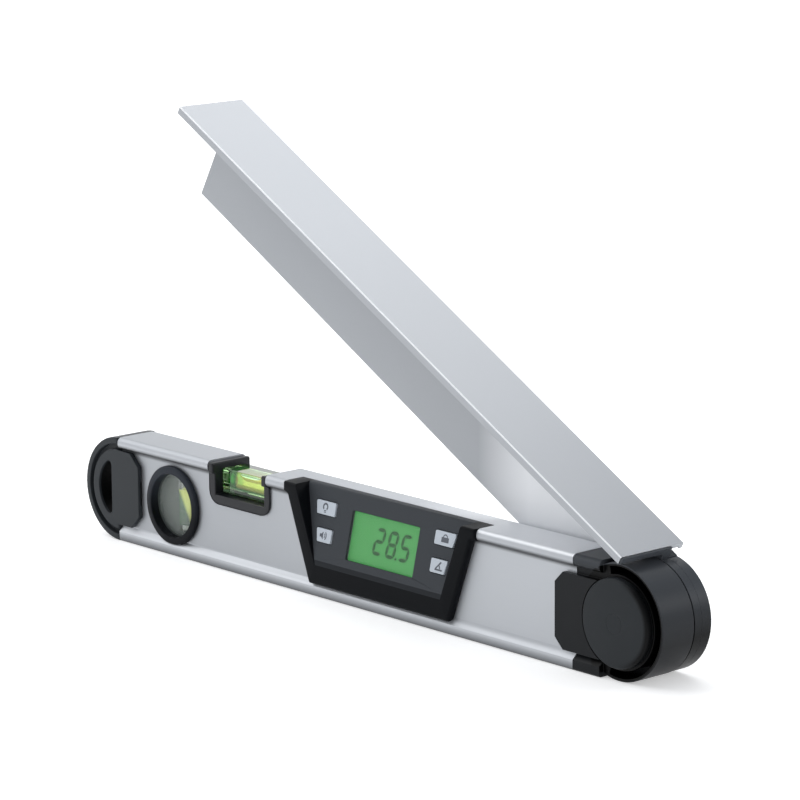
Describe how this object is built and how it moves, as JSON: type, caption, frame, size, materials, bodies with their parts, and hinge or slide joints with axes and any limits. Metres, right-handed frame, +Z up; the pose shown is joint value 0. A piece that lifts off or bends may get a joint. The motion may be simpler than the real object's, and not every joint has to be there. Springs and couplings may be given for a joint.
{
  "type": "digital angle finder level",
  "caption": "Aluminium digital level with a folding measuring arm on a friction hinge, a level vial, a plumb vial, a display console and a hanging slot.",
  "frame": {"origin": "centre of the flat base face of the aluminium body", "axes": "+X along the body from the round end cap to the hinge, +Y from the display side to the back, +Z up from the base face"},
  "size_m": [0.4603, 0.044, 0.2554],
  "materials": {
    "satin_aluminium": "fine brushed and clear anodised, satin",
    "dark_plastic": "fine moulded texture",
    "cover_plastic": "smooth satin",
    "black_plastic": "smooth satin",
    "button_plastic": "satin",
    "cell_sleeve": "printed sleeve",
    "clear_acrylic": "clear and polished",
    "vial_liquid": "clear yellow-green liquid",
    "display_green": "backlit liquid crystal",
    "circuit_board": "solder mask",
    "spring_steel": "plated",
    "steel": "zinc plated",
    "brass": "turned"
  },
  "bodies": {
    "level": {"body_extrusion": "satin_aluminium", "end_cap": "dark_plastic", "console_housing": "dark_plastic", "hinge_housing": "dark_plastic", "hinge_cover": "cover_plastic", "plumb_vial_housing": "black_plastic", "plumb_vial_back_ring": "black_plastic", "level_vial_housing": "black_plastic", "battery_tray": "black_plastic", "buzzer": "black_plastic", "switch_lower_left": "black_plastic", "switch_lower_right": "black_plastic", "switch_upper_left": "black_plastic", "switch_upper_right": "black_plastic", "encoder_ribbon": "black_plastic", "battery_cell_1": "cell_sleeve", "battery_cell_2": "cell_sleeve", "level_vial_left_plug": "button_plastic", "level_vial_right_plug": "button_plastic", "plumb_vial_lower_plug": "button_plastic", "plumb_vial_upper_plug": "button_plastic", "display_window": "clear_acrylic", "plumb_front_lens": "clear_acrylic", "plumb_back_lens": "clear_acrylic", "plumb_vial_tube": "clear_acrylic", "level_vial_block": "clear_acrylic", "level_vial_liquid": "vial_liquid", "plumb_vial_liquid": "vial_liquid", "display_module": "display_green", "main_board": "circuit_board", "encoder_board": "circuit_board", "battery_contact_left": "spring_steel", "battery_contact_right": "spring_steel", "thrust_washer": "spring_steel", "cap_screw_1": "steel", "cap_screw_2": "steel", "housing_screw_1": "steel", "housing_screw_2": "steel", "board_left_screw": "steel", "board_right_screw": "steel", "pivot_bush": "brass"},
    "arm": {"arm_profile": "satin_aluminium", "arm_hub": "dark_plastic", "hub_cover": "dark_plastic", "pivot_shaft": "steel", "pivot_nut": "steel", "encoder_rotor": "brass", "hub_screw_1": "steel", "hub_screw_2": "steel", "hub_screw_3": "steel", "web_screw_1": "steel", "web_screw_2": "steel"},
    "button_lower_left": {"button_lower_left": "button_plastic"},
    "button_lower_right": {"button_lower_right": "button_plastic"},
    "button_upper_left": {"button_upper_left": "button_plastic"},
    "button_upper_right": {"button_upper_right": "button_plastic"},
    "battery_door": {"battery_door": "dark_plastic"}
  },
  "joints": [
    {"name": "arm_hinge", "type": "hinge", "parent": "level", "child": "arm", "pos_m": [0.215, 0, 0.03], "axis": [0, 1, 0], "range_deg": [-29.1, 190.9]},
    {"name": "lower_left_press", "type": "slide", "parent": "level", "child": "button_lower_left", "axis": [0, 0.9744, -0.225], "range_m": [0, 0.0004], "stiffness_N_per_m": 600},
    {"name": "lower_right_press", "type": "slide", "parent": "level", "child": "button_lower_right", "axis": [0, 0.9744, -0.225], "range_m": [0, 0.0004], "stiffness_N_per_m": 600},
    {"name": "upper_left_press", "type": "slide", "parent": "level", "child": "button_upper_left", "axis": [0, 0.9744, -0.225], "range_m": [0, 0.0004], "stiffness_N_per_m": 600},
    {"name": "upper_right_press", "type": "slide", "parent": "level", "child": "button_upper_right", "axis": [0, 0.9744, -0.225], "range_m": [0, 0.0004], "stiffness_N_per_m": 600},
    {"name": "door_lift", "type": "slide", "parent": "level", "child": "battery_door", "axis": [0, 1, 0], "range_m": [0, 0.03]}
  ]
}
